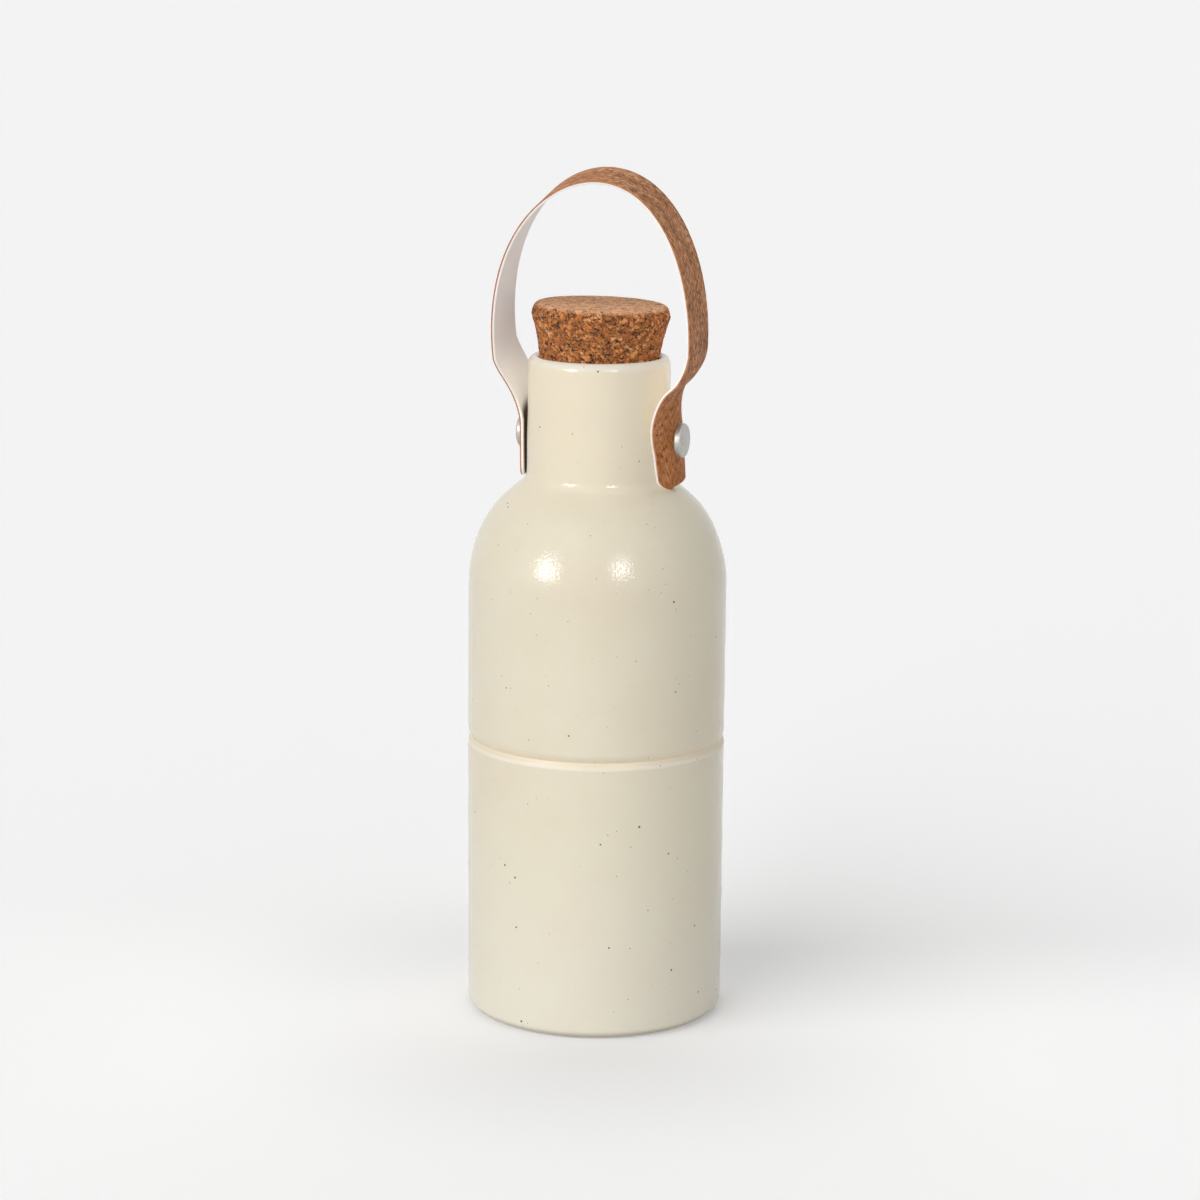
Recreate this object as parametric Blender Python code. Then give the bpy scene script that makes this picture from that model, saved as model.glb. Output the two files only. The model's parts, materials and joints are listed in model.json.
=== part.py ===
"""Stoneware water bottle with a flared cork stopper and a riveted, cork-faced carrying strap.

The origin is the middle of the foot, +Z is up and +X runs through the right-hand rivet. Every size is
in metres. The bottle and the stopper are turned profiles, the strap is a two-layer band lofted along an
arch, and each strap end is held by a domed screw, a threaded post and a seal inside the neck.
"""

import math

import bmesh
import bpy
import numpy as np
from mathutils import Matrix

# Clearances
SEAT_GAP = 0.0003  # between two pieces that rest on each other
GLUE_LINE = 0.00015  # between the bonded layers of the strap
POST_GAP = 0.0003  # round a rivet's post in its holes, and round its screw

# Bottle, from the foot up
BODY_RADIUS = 0.0400
BODY_WALL = 0.0042
FLOOR_THICKNESS = 0.0058
FLOOR_ROUND = 0.0060  # inside corner of floor and wall
BASE_ROUND = 0.0042  # outside corner of wall and foot
FOOT_WIDTH = 0.0065  # flat ring that the bottle stands on
FOOT_DEPTH = 0.0012  # recess inside the ring
GROOVE_HEIGHT = 0.0878
GROOVE_WIDTH = 0.0052
GROOVE_DEPTH = 0.0007
SHOULDER_HEIGHT = 0.1356  # where the straight wall turns into the dome
SHOULDER_RISE = 0.0415  # upright half axis of the dome
NECK_BASE_RADIUS = 0.0223
NECK_TOP_RADIUS = 0.0219
NECK_HEIGHT = 0.0368  # from the foot of the neck to the top of the lip
NECK_WALL = 0.0032
NECK_FILLET = 0.0016  # how far the hollow at the foot of the neck reaches along neck and dome

# Stopper, measured from the top of the lip
STOPPER_HEAD = 0.0159  # above the lip
STOPPER_TIP_GAP = 0.0051  # from its tip down to the seals in the neck
STOPPER_FLARE = 0.0038  # how much wider the head is than the mouth
STOPPER_FLARE_SLOPE = 0.35  # share of the flare that is a straight taper; the rest curves outwards
STOPPER_EDGE_DROP = 0.0028  # rounding of the head's edge, downwards
STOPPER_EDGE_INSET = 0.0014  # and inwards
STOPPER_TIP_TAPER = 0.0011  # how much narrower the tip is than the mouth
STOPPER_TIP_ROUND = 0.0010

# Strap, with heights measured from the rivet axis
STRAP_WIDTH = 0.0190
BACKING_THICKNESS = 0.0006
FACING_THICKNESS = 0.00045
TAB_END_FLAT = 0.0020  # straight stretch of a tab's end, between its rounded corners
APEX_HEIGHT = 0.0810
APEX_SHIFT = 0.0026  # the arch is highest a little to the right
LEFT_STAND = 0.00035  # from the neck to the left tab, which lies against it
LEFT_TAB_RISE = 0.0010  # from the foot of the neck up to the left tab's end
LEFT_STRAIGHT = 0.0044  # flat length above the rivet axis
LEFT_BULGE = 0.0049  # how far the leg stands out beyond its tab
LEFT_BULGE_HEIGHT = 0.0284
LEFT_LOWER_PULL = 0.10  # how long the leg keeps the tab's direction
LEFT_UPPER_PULL = 0.10  # how long it keeps the bulge's direction
LEFT_TILT = math.radians(2.0)  # of the tab, about the rivet axis, its upper end towards -Y
LEFT_LEAN = math.radians(16.6)  # of the leg above it
RIGHT_STAND = 0.0028  # the springy arch holds the right tab out, against its rivet head
RIGHT_TAB_DROP = 0.0012  # from the foot of the neck down to the right tab's end, beside the dome
RIGHT_STRAIGHT = 0.0005
RIGHT_BULGE = 0.0062
RIGHT_BULGE_HEIGHT = 0.0321
RIGHT_LOWER_PULL = 0.74
RIGHT_UPPER_PULL = 0.72
RIGHT_TILT = math.radians(20.0)
RIGHT_LEAN = math.radians(2.7)
ARCH_TURN = math.radians(1.2)  # turn of the arch about the bottle's axis
LEAN_START = 0.0061  # the tabs keep their tilt up to here
LEAN_LENGTH = 0.0225  # the legs twist over this length

# Rivets
RIVET_RISE = 0.0120  # rivet axis above the foot of the neck
HEAD_RADIUS = 0.0053
HEAD_THICKNESS = 0.0020
HEAD_DOME = 0.0004
HEAD_ROUND = 0.0009
SCREW_RADIUS = 0.0014
SCREW_LENGTH = 0.0055
POST_RADIUS = 0.0024
FLANGE_RADIUS = 0.0048
FLANGE_THICKNESS = 0.0010
SEAL_RADIUS = 0.0052
SEAL_THICKNESS = 0.0008  # at its thinnest, where the curved bore comes nearest

# Facets round each turned piece
BOTTLE_STEPS = 64
STOPPER_STEPS = 48
RIVET_STEPS = 24

# Facets along the profiles
ROUND_STEPS = 5  # a small quarter round
FILLET_STEPS = 3
LIP_STEPS = 6
GROOVE_STEPS = 6
DOME_STEPS = 11
INNER_DOME_STEPS = 7
FLARE_STEPS = 8

# Facets of the strap
TAB_STEPS = 6
BEND_STEPS = 10
ARCH_STEPS = 18  # on each side of the apex
ACROSS_STEPS = 4

# What follows from the sizes above
BORE_RADIUS = NECK_TOP_RADIUS - NECK_WALL
NECK_FOOT_Z = SHOULDER_HEIGHT + SHOULDER_RISE * math.sqrt(1 - (NECK_BASE_RADIUS / BODY_RADIUS) ** 2)
LIP_Z = NECK_FOOT_Z + NECK_HEIGHT
LIP_ROUND = NECK_WALL / 2
RIVET_Z = NECK_FOOT_Z + RIVET_RISE
STOPPER_DEPTH = NECK_HEIGHT - RIVET_RISE - SEAL_RADIUS - STOPPER_TIP_GAP  # below the lip
TAB_CORNER = (STRAP_WIDTH - TAB_END_FLAT) / 2  # rounding of a tab's end
LEFT_TAB_LENGTH = RIVET_RISE - LEFT_TAB_RISE  # below the rivet axis
RIGHT_TAB_LENGTH = RIVET_RISE + RIGHT_TAB_DROP
LEFT_FACE_X = max(NECK_BASE_RADIUS, NECK_TOP_RADIUS) + LEFT_STAND  # inner face of the tab
RIGHT_FACE_X = max(NECK_BASE_RADIUS, NECK_TOP_RADIUS) + RIGHT_STAND
ARCH_REACH = max(LEFT_FACE_X + LEFT_BULGE, RIGHT_FACE_X + RIGHT_BULGE)
FACING_OFFSET = BACKING_THICKNESS + GLUE_LINE
STRAP_THICKNESS = FACING_OFFSET + FACING_THICKNESS
SEAL_FACE_X = math.sqrt(BORE_RADIUS**2 - SEAL_RADIUS**2) - SEAT_GAP - SEAL_THICKNESS
FLANGE_FACE_X = SEAL_FACE_X - SEAT_GAP


def clear_scene():
    for old in list(bpy.data.objects):
        bpy.data.objects.remove(old, do_unlink=True)


def material(name, colour, roughness, metallic=0.0):
    made = bpy.data.materials.new(name)
    made.use_nodes = True
    shader = made.node_tree.nodes["Principled BSDF"]
    shader.inputs["Base Color"].default_value = (*colour, 1.0)
    shader.inputs["Roughness"].default_value = roughness
    shader.inputs["Metallic"].default_value = metallic
    return made


def add_object(name, mesh, finish=None, parent=None):
    made = bpy.data.objects.new(name, mesh)
    bpy.context.scene.collection.objects.link(made)
    if finish:
        mesh.materials.append(finish)
    if parent:
        made.parent = parent
    return made


def add_empty(name, place):
    made = add_object(name, None)
    made.location = place
    return made


def smooth(mesh, sharp_degrees=35):
    mesh.shade_smooth()
    mesh.set_sharp_from_angle(angle=math.radians(sharp_degrees))


def arc(centre, radii, start, end, steps):
    """Points of an elliptical arc, angles in degrees, both ends included."""
    turn = np.radians(np.linspace(start, end, steps + 1))
    return [(centre[0] + radii[0] * math.cos(t), centre[1] + radii[1] * math.sin(t)) for t in turn]


def turned(name, profile, finish, steps, parent=None):
    """A solid of revolution from (radius, height) points that run down its outer side."""
    mesh = bpy.data.meshes.new(name)
    points = [(r, 0.0, h) for r, h in profile]
    mesh.from_pydata(points, [(i, i + 1) for i in range(len(points) - 1)], [])
    made = add_object(name, mesh, finish, parent)
    screw = made.modifiers.new("turn", "SCREW")
    screw.axis = "Z"
    screw.steps = screw.render_steps = steps
    screw.use_merge_vertices = True
    screw.merge_threshold = 0.00001
    screw.use_smooth_shade = True
    return made


def dome_point(radius, half_width, rise):
    """Height of the shoulder's dome at a radius."""
    return SHOULDER_HEIGHT + rise * math.sqrt(1 - (radius / half_width) ** 2)


def shoulder(half_width, rise, inner_radius, steps):
    """Dome from a radius at its top, out and down to the straight wall."""
    top = math.degrees(math.acos(inner_radius / half_width))
    return arc((0, SHOULDER_HEIGHT), (half_width, rise), top, 0, steps)


def neck_fillet():
    """Hollow where neck and dome meet: a curve drawn towards their corner."""
    slope = (NECK_TOP_RADIUS - NECK_BASE_RADIUS) / NECK_HEIGHT
    start = np.array([NECK_BASE_RADIUS + slope * NECK_FILLET, NECK_FOOT_Z + NECK_FILLET])
    corner = np.array([NECK_BASE_RADIUS, NECK_FOOT_Z])
    end_radius = NECK_BASE_RADIUS + NECK_FILLET
    end = np.array([end_radius, dome_point(end_radius, BODY_RADIUS, SHOULDER_RISE)])
    ways = np.linspace(0, 1, FILLET_STEPS + 1)
    return [tuple((1 - t) ** 2 * start + 2 * t * (1 - t) * corner + t * t * end) for t in ways]


def groove():
    """Soft turned groove, a raised-cosine dip in the wall, top to bottom."""
    ways = np.linspace(-1, 1, GROOVE_STEPS + 1)
    return [
        (
            BODY_RADIUS - GROOVE_DEPTH * (1 + math.cos(math.pi * t)) / 2,
            GROOVE_HEIGHT - t * GROOVE_WIDTH / 2,
        )
        for t in ways
    ]


def bottle_profile():
    inner_radius = BODY_RADIUS - BODY_WALL
    inner_rise = SHOULDER_RISE - BODY_WALL
    foot_outer = BODY_RADIUS - BASE_ROUND
    foot_inner = foot_outer - FOOT_WIDTH
    lip_centre = (NECK_TOP_RADIUS - LIP_ROUND, LIP_Z - LIP_ROUND)
    floor_centre = (inner_radius - FLOOR_ROUND, FLOOR_THICKNESS + FLOOR_ROUND)
    inside = [(0.0, FLOOR_THICKNESS)]
    inside += arc(floor_centre, (FLOOR_ROUND, FLOOR_ROUND), -90, 0, ROUND_STEPS)
    inside += shoulder(inner_radius, inner_rise, BORE_RADIUS, INNER_DOME_STEPS)[::-1]
    lip = arc(lip_centre, (LIP_ROUND, LIP_ROUND), 180, 0, LIP_STEPS)
    outside = neck_fillet()
    outside += shoulder(BODY_RADIUS, SHOULDER_RISE, NECK_BASE_RADIUS + NECK_FILLET, DOME_STEPS)[1:]
    outside += groove()
    outside += arc((foot_outer, BASE_ROUND), (BASE_ROUND, BASE_ROUND), 0, -90, ROUND_STEPS)
    foot = [(foot_inner, 0.0), (foot_inner - FOOT_DEPTH, FOOT_DEPTH), (0.0, FOOT_DEPTH)]
    return inside + lip + outside + foot


def stopper_profile():
    """Head, flared side and tip, with the lip's top at height 0."""
    seat_radius = BORE_RADIUS - SEAT_GAP
    seat_height = -LIP_ROUND
    edge_height = STOPPER_HEAD - STOPPER_EDGE_DROP

    def side(height):
        way = (height - seat_height) / (STOPPER_HEAD - seat_height)
        bend = STOPPER_FLARE_SLOPE * way + (1 - STOPPER_FLARE_SLOPE) * way * way
        return seat_radius + STOPPER_FLARE * bend

    edge_centre = (side(edge_height) - STOPPER_EDGE_INSET, edge_height)
    tip_centre = (
        seat_radius - STOPPER_TIP_TAPER - STOPPER_TIP_ROUND,
        STOPPER_TIP_ROUND - STOPPER_DEPTH,
    )
    profile = [(0.0, STOPPER_HEAD)]
    profile += arc(edge_centre, (STOPPER_EDGE_INSET, STOPPER_EDGE_DROP), 90, 0, ROUND_STEPS)
    profile += [(side(h), h) for h in np.linspace(edge_height, seat_height, FLARE_STEPS + 1)[1:]]
    profile += arc(tip_centre, (STOPPER_TIP_ROUND, STOPPER_TIP_ROUND), 0, -90, FILLET_STEPS)
    return profile + [(0.0, -STOPPER_DEPTH)]


def smoothstep(value):
    way = np.clip(value, 0.0, 1.0)
    return way * way * (3 - 2 * way)


def strap_leg(face_x, tab_length, straight, bulge, bulge_height, pulls, apex_x):
    """One side of the arch's inner face as (x, height, half width): tab, S-bend, quarter ellipse to the apex.

    The half width is rounded off at the tab's end.
    """
    corner = TAB_CORNER * (1 - np.cos(np.linspace(0, np.pi / 2, TAB_STEPS + 1))) - tab_length
    upright = np.linspace(corner[-1], straight, TAB_STEPS + 1)[1:]
    heights = np.concatenate([corner, upright])
    tab = np.stack([np.full(len(heights), face_x), heights], axis=1)
    top_x = face_x + bulge
    reach = bulge_height - straight
    ends = np.array(
        [
            (face_x, straight),
            (face_x, straight + pulls[0] * reach),
            (top_x, bulge_height - pulls[1] * reach),
            (top_x, bulge_height),
        ]
    )
    t = np.linspace(0, 1, BEND_STEPS + 1)[1:, None]
    shares = np.concatenate([(1 - t) ** 3, 3 * t * (1 - t) ** 2, 3 * t * t * (1 - t), t**3], axis=1)
    bend = shares @ ends
    turn = np.linspace(0, np.pi / 2, ARCH_STEPS + 1)[1:]
    arch = np.stack(
        [
            apex_x + (top_x - apex_x) * np.cos(turn),
            bulge_height + (APEX_HEIGHT - bulge_height) * np.sin(turn),
        ],
        axis=1,
    )
    path = np.concatenate([tab, bend, arch])
    into_end = np.clip(TAB_CORNER - (path[:, 1:] + tab_length), 0, TAB_CORNER)
    half_width = STRAP_WIDTH / 2 - TAB_CORNER + np.sqrt(TAB_CORNER**2 - into_end**2)
    return np.concatenate([path, half_width], axis=1)


def strap_path():
    """Inner face of the whole band in its own plane, from the left tab's end to the right tab's end."""
    left = strap_leg(
        LEFT_FACE_X,
        LEFT_TAB_LENGTH,
        LEFT_STRAIGHT,
        LEFT_BULGE,
        LEFT_BULGE_HEIGHT,
        (LEFT_LOWER_PULL, LEFT_UPPER_PULL),
        -APEX_SHIFT,
    )
    right = strap_leg(
        RIGHT_FACE_X,
        RIGHT_TAB_LENGTH,
        RIGHT_STRAIGHT,
        RIGHT_BULGE,
        RIGHT_BULGE_HEIGHT,
        (RIGHT_LOWER_PULL, RIGHT_UPPER_PULL),
        APEX_SHIFT,
    )
    return np.concatenate([left * (-1, 1, 1), right[-2::-1]])


def placed(x, y, height):
    """Points of the flat, upright band, with its tabs tilted and its arch leaned and turned.

    Tilt and lean are about the rivet axis, and one passes into the other above the tabs, where the turn about
    the bottle's axis starts too.
    """
    free = smoothstep((height - LEAN_START) / LEAN_LENGTH)
    side = smoothstep((x / ARCH_REACH + 1) / 2)
    tilt = np.where(x > 0, RIGHT_TILT, LEFT_TILT)
    lean = tilt + free * (LEFT_LEAN + (RIGHT_LEAN - LEFT_LEAN) * side - tilt)
    turn = free * ARCH_TURN
    depth = y * np.cos(lean) - height * np.sin(lean)
    rise = height * np.cos(lean) + y * np.sin(lean)
    across = x * np.cos(turn) - depth * np.sin(turn)
    return np.stack([across, x * np.sin(turn) + depth * np.cos(turn), rise], axis=-1)


def strap_layer(name, inner, outer, finish, parent):
    """One layer of the band between two offsets from its inner face, lofted through its stations."""
    stations = strap_path()
    path, half = stations[:, :2], stations[:, 2]
    along = np.gradient(path, axis=0)
    along /= np.linalg.norm(along, axis=1)[:, None]
    outward = np.stack([-along[:, 1], along[:, 0]], axis=1)
    across = np.linspace(-1, 1, ACROSS_STEPS + 1)
    section = [(outer, side) for side in across] + [(inner, side) for side in across[::-1]]
    rings = []
    for offset, side in section:
        at = path + offset * outward
        rings.append(placed(at[:, 0], side * half, at[:, 1]))
    made = bmesh.new()
    loops = [[made.verts.new(point) for point in ring] for ring in np.stack(rings, axis=1)]
    for first, second in zip(loops[:-1], loops[1:]):
        for i in range(len(section)):
            made.faces.new((first[i], first[i - 1], second[i - 1], second[i]))
    made.faces.new(loops[0])
    made.faces.new(loops[-1][::-1])
    bmesh.ops.recalc_face_normals(made, faces=made.faces)
    mesh = bpy.data.meshes.new(name)
    made.to_mesh(mesh)
    made.free()
    smooth(mesh)
    return add_object(name, mesh, finish, parent)


def cut(target, cutter, operation="DIFFERENCE"):
    step = target.modifiers.new(cutter.name, "BOOLEAN")
    step.operation = operation
    step.solver = "EXACT"
    step.object = cutter


def cylinder_cutter(name, radius, length, place, along_x, parent=None):
    """A plain cylinder that only cuts, upright or along X."""
    made = bmesh.new()
    turn = Matrix.Rotation(math.pi / 2, 4, "Y") if along_x else Matrix.Identity(4)
    bmesh.ops.create_cone(
        made,
        cap_ends=True,
        segments=RIVET_STEPS if along_x else BOTTLE_STEPS,
        radius1=radius,
        radius2=radius,
        depth=length,
        matrix=Matrix.Translation(place) @ turn,
    )
    mesh = bpy.data.meshes.new(name)
    made.to_mesh(mesh)
    made.free()
    cutter = add_object(name, mesh, parent=parent)
    cutter.hide_render = True
    cutter.display_type = "WIRE"
    return cutter


def rivet_piece(name, profile, finish, pivot):
    """A turned rivet piece whose profile heights run out along the rivet axis."""
    made = turned(name, profile, finish, RIVET_STEPS, pivot)
    made.rotation_euler = (0, math.pi / 2, 0)
    return made


def screw_profile(seat_x):
    """Low domed head and the plain core of its screw."""
    rim_z = seat_x + HEAD_THICKNESS
    dome_radius = HEAD_RADIUS - HEAD_ROUND
    ways = np.linspace(0, 1, ROUND_STEPS + 1)
    crown = [(dome_radius * t, rim_z + HEAD_DOME * (1 - t * t)) for t in ways]
    rim = arc((dome_radius, rim_z - HEAD_ROUND), (HEAD_ROUND, HEAD_ROUND), 90, 0, FILLET_STEPS)[1:]
    core = [
        (HEAD_RADIUS, seat_x),
        (SCREW_RADIUS, seat_x),
        (SCREW_RADIUS, seat_x - SCREW_LENGTH),
        (0.0, seat_x - SCREW_LENGTH),
    ]
    return crown + rim + core


def post_profile(seat_x):
    """Hollow post with the flange that bears on the seal."""
    bore = SCREW_RADIUS + POST_GAP
    bore_end = seat_x - SCREW_LENGTH - POST_GAP
    top = seat_x - SEAT_GAP
    return [
        (0.0, bore_end),
        (bore, bore_end),
        (bore, top),
        (POST_RADIUS, top),
        (POST_RADIUS, FLANGE_FACE_X),
        (FLANGE_RADIUS, FLANGE_FACE_X),
        (FLANGE_RADIUS, FLANGE_FACE_X - FLANGE_THICKNESS),
        (0.0, FLANGE_FACE_X - FLANGE_THICKNESS),
    ]


def seal_profile():
    """Ring that reaches past the bore's wall, to be trimmed to it."""
    hole = POST_RADIUS + POST_GAP
    far = BORE_RADIUS + SEAT_GAP
    return [
        (hole, SEAL_FACE_X),
        (hole, far),
        (SEAL_RADIUS, far),
        (SEAL_RADIUS, SEAL_FACE_X),
        (hole, SEAL_FACE_X),
    ]


def build_rivet(side, turn, face_x, finishes):
    """Screw, post and seal of one side, on an empty turned to face that side."""
    seat_x = face_x + STRAP_THICKNESS + SEAT_GAP
    pivot = add_empty(f"{side}_rivet_axis", (0, 0, RIVET_Z))
    pivot.rotation_euler = (0, 0, turn)
    rivet_piece(f"{side}_rivet_screw", screw_profile(seat_x), finishes["metal"], pivot)
    rivet_piece(f"{side}_rivet_post", post_profile(seat_x), finishes["metal"], pivot)
    seal = rivet_piece(f"{side}_rivet_seal", seal_profile(), finishes["seal"], pivot)
    bore = cylinder_cutter(
        f"{side}_seal_trim", BORE_RADIUS - SEAT_GAP, 4 * SEAL_RADIUS, (0, 0, RIVET_Z), along_x=False
    )
    cut(seal, bore, "INTERSECT")


def main():
    clear_scene()
    finishes = {
        "glaze": material("cream_glaze", (0.76, 0.70, 0.55), 0.28),
        "cork": material("cork_granules", (0.38, 0.17, 0.07), 0.85),
        "facing": material("cork_sheet", (0.40, 0.20, 0.10), 0.75),
        "backing": material("cream_backing", (0.72, 0.66, 0.60), 0.65),
        "metal": material("satin_metal", (0.66, 0.65, 0.62), 0.35, 1.0),
        "seal": material("clear_rubber", (0.62, 0.60, 0.56), 0.55),
    }
    bottle = turned("bottle", bottle_profile(), finishes["glaze"], BOTTLE_STEPS)
    through = 2 * (RIGHT_FACE_X + LEFT_FACE_X)
    holes = cylinder_cutter("rivet_holes", POST_RADIUS + POST_GAP, through, (0, 0, RIVET_Z), along_x=True)
    cut(bottle, holes)

    lift = add_empty("stopper_lift", (0, 0, LIP_Z))
    turned("cork_stopper", stopper_profile(), finishes["cork"], STOPPER_STEPS, lift)

    pivot = add_empty("strap_pivot", (0, 0, RIVET_Z))
    backing = strap_layer("strap_backing", 0.0, BACKING_THICKNESS, finishes["backing"], pivot)
    facing = strap_layer("strap_cork_face", FACING_OFFSET, STRAP_THICKNESS, finishes["facing"], pivot)
    for layer in (backing, facing):
        cut(layer, holes)

    build_rivet("right", 0.0, RIGHT_FACE_X, finishes)
    build_rivet("left", math.pi, LEFT_FACE_X, finishes)


main()
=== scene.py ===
import json
import math

import bpy
import numpy as np
from bpy.props import FloatProperty, FloatVectorProperty, IntProperty, PointerProperty
from mathutils import Matrix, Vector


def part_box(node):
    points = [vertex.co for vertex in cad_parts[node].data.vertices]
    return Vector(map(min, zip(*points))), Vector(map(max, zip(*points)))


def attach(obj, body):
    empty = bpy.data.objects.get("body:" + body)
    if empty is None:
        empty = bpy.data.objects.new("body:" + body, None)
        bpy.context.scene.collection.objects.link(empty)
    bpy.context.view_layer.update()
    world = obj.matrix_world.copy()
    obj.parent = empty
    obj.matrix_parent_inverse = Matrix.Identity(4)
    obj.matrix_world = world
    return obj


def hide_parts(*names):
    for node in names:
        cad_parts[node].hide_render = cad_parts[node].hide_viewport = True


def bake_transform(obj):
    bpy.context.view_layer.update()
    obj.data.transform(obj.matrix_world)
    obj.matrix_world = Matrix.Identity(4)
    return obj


bl_info = {
    "name": "Stoneware Bottle",
    "version": (1, 0, 0),
    "blender": (4, 5, 0),
    "location": "3D View > Sidebar > Bottle",
    "description": "Glazed water bottle with a cork stopper and a riveted cork-faced strap",
    "category": "Add Mesh",
}

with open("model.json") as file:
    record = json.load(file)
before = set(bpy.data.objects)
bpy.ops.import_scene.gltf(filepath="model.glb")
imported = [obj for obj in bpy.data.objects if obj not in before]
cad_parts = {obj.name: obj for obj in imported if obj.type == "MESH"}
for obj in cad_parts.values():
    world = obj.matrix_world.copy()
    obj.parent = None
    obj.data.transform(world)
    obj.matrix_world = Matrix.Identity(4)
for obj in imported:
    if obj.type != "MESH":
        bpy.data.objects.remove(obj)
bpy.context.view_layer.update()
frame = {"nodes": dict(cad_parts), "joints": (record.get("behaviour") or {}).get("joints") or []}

# Places that the frame fixes
BOTTLE_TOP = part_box("bottle")[1]
STOPPER_LOW, STOPPER_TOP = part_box("cork_stopper")
HEAD_LOW, HEAD_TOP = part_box("right_rivet_screw")
SCREW_TIPS = {"left": -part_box("left_rivet_screw")[1].x, "right": HEAD_LOW.x}
RIVET_Z = next(j for j in frame["joints"] if j["name"] == "strap_lean")["pos_m"][2]
LIP_Z = BOTTLE_TOP.z


def length(label, default, about):
    """A property that is a length in metres."""
    return FloatProperty(
        name=label, description=about, default=default, subtype="DISTANCE", unit="LENGTH", precision=5
    )


def angle(label, degrees, about):
    """A property that is an angle, given in degrees."""
    return FloatProperty(
        name=label, description=about, default=math.radians(degrees), subtype="ANGLE", unit="ROTATION"
    )


def number(label, default, about):
    """A property that is a plain number."""
    return FloatProperty(name=label, description=about, default=default, precision=4)


def colour(label, default, about):
    """A property that is a linear colour."""
    return FloatVectorProperty(
        name=label, description=about, default=default, subtype="COLOR", size=3, min=0.0, max=1.0
    )


def titled(name):
    """A label made from a name: left_face gives Left face."""
    return name.replace("_", " ").capitalize()


class BottleSettings(bpy.types.PropertyGroup):
    """Sizes and colours of the glazed body."""

    radius: length("Radius", BOTTLE_TOP.x, "Outside radius of the wall")
    wall: length("Wall", 0.0042, "Thickness of the wall")
    floor: length("Floor", 0.0058, "Thickness of the floor")
    floor_round: length("Floor round", 0.0060, "Inside corner of floor and wall")
    base_round: length("Base round", 0.0042, "Outside corner of wall and foot")
    base_rise: length("Base rise", 0.0032, "Height of that corner")
    foot_width: length("Foot width", 0.0065, "Flat ring that the bottle stands on")
    foot_depth: length("Foot depth", 0.0012, "Recess inside the foot ring")
    groove_height: length("Groove height", 0.0878, "Middle of the turned groove")
    groove_width: length("Groove width", 0.0052, "Width of the turned groove")
    groove_depth: length("Groove depth", 0.0008, "Depth of the turned groove")
    groove_power: number("Groove power", 1.9, "How sharply the groove runs to a cusp; 1 is a plain V")
    shoulder_height: length("Shoulder height", 0.1356, "Where the wall turns into the dome")
    shoulder_rise: length("Shoulder rise", 0.0415, "Upright half axis of the dome")
    shoulder_sink: length("Shoulder sink", 0.0013, "How much lower the dome meets the neck")
    sink_radius: length("Sink radius", 0.036, "Radius inside which the dome sinks")
    sink_width: length("Sink width", 0.012, "Width of the ring over which it sinks")
    neck_base: length("Neck base", 0.0223, "Outside radius at the foot of the neck")
    neck_top: length("Neck top", 0.0219, "Outside radius at the lip")
    neck_wall: length("Neck wall", 0.0032, "Thickness of the neck")
    lip_drop: length("Lip drop", 0.0028, "Height of the lip's outer rounding")
    lip_share: number("Lip share", 0.62, "Share of the neck's wall that the outer rounding takes")
    fillet: length("Fillet", 0.0020, "Reach of the hollow at the foot of the neck")
    wobble: length("Wobble", 0.00010, "How far the hand-turned wall strays from a true circle")
    wobble_fade: length("Wobble fade", 0.020, "Height over which that fades out at the foot and the lip")
    ring_pitch: length("Ring pitch", 0.017, "Height from one faint turning ring to the next")
    cream: colour("Cream", (0.775, 0.710, 0.548), "Main colour of the glaze")
    warm: colour("Warm", (0.765, 0.680, 0.520), "Colour of its warm clouds")
    honey: colour("Honey", (0.842, 0.740, 0.560), "Colour of the neck, where it lies thicker")
    pale: colour("Pale", (0.800, 0.765, 0.665), "Colour where the glaze runs thin, on the lip")
    peach: colour("Peach", (0.800, 0.690, 0.520), "Colour where it gathers, in the groove")
    # Painted highlight: the ridge colour lightens the groove's lower edge where the light catches it.
    ridge_highlight: colour("Ridge", (0.870, 0.810, 0.700), "Colour on the groove's lower edge")
    clay: colour("Clay", (0.500, 0.420, 0.300), "Colour of the bare edge at the foot")
    speck: colour("Speck", (0.090, 0.065, 0.042), "Colour of the iron specks")
    roughness: number("Roughness", 0.145, "Roughness of the glaze")


class StopperSettings(bpy.types.PropertyGroup):
    """Sizes and colours of the cork stopper."""

    flare: length("Flare", 0.0043, "How much wider the head is than the mouth")
    flare_slope: number("Flare slope", 0.35, "Share of the flare that is a straight taper")
    edge_drop: length("Edge drop", 0.0038, "Rounding of the head's edge, downwards")
    edge_inset: length("Edge inset", 0.0022, "Rounding of the head's edge, inwards")
    seat_gap: length("Seat gap", 0.0003, "Room between the plug and the mouth")
    seat_share: number("Seat share", 0.08, "How deep it sits, as a share of the mouth's radius")
    tip_taper: length("Tip taper", 0.0011, "How much narrower the tip is than the mouth")
    tip_round: length("Tip round", 0.0010, "Rounding of the tip")
    tilt: angle("Tilt", 1.6, "How far the stopper sits askew, to the right of the view")
    granule: length("Granule", 0.0021, "Usual width of a cork granule")
    relief: length("Relief", 0.00022, "Depth of the gaps among the granules")
    sanded_depth: length("Sanded depth", 0.0014, "How far down from the top the sanding reaches")
    sanded_fade: length("Sanded fade", 0.0012, "Over how much of that it fades out")
    dark: colour("Dark", (0.230, 0.072, 0.019), "Darkest granules")
    middle: colour("Middle", (0.660, 0.226, 0.054), "Usual granules")
    light: colour("Light", (0.870, 0.430, 0.175), "Palest granules")
    pit: colour("Pit", (0.024, 0.008, 0.004), "Depth of the gaps and pits")
    sanded: colour("Sanded", (0.850, 0.505, 0.292), "Sanded top")


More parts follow.
